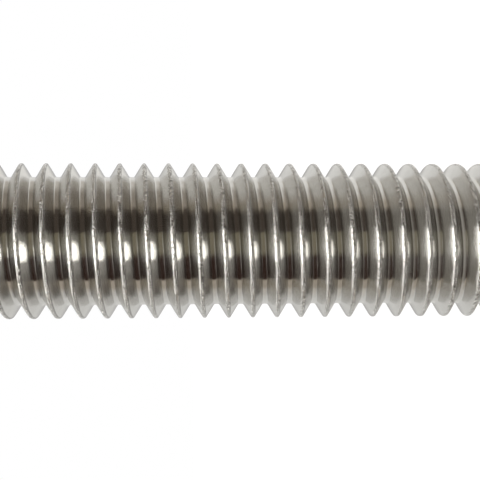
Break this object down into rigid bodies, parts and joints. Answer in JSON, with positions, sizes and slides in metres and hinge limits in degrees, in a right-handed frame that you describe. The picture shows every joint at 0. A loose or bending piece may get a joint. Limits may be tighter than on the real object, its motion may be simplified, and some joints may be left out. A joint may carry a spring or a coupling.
{
  "type": "socket set screw",
  "caption": "Headless screw threaded from end to end, with a flat point and a hexagon socket, turned in flush to clamp a hub or collar on its shaft.",
  "frame": {"origin": "middle of the flat point's face, on the surface that the screw stands on", "axes": "+Z along the screw's axis from the point to the socket, +X through a corner of the hexagon, +Y through the middle of a flat"},
  "size_m": [0.008, 0.008, 0.03],
  "materials": {
    "stainless_steel": "bright rolled thread, smooth with fine rolling marks along the turns"
  },
  "bodies": {
    "root": {"set_screw": "stainless_steel"}
  },
  "joints": []
}
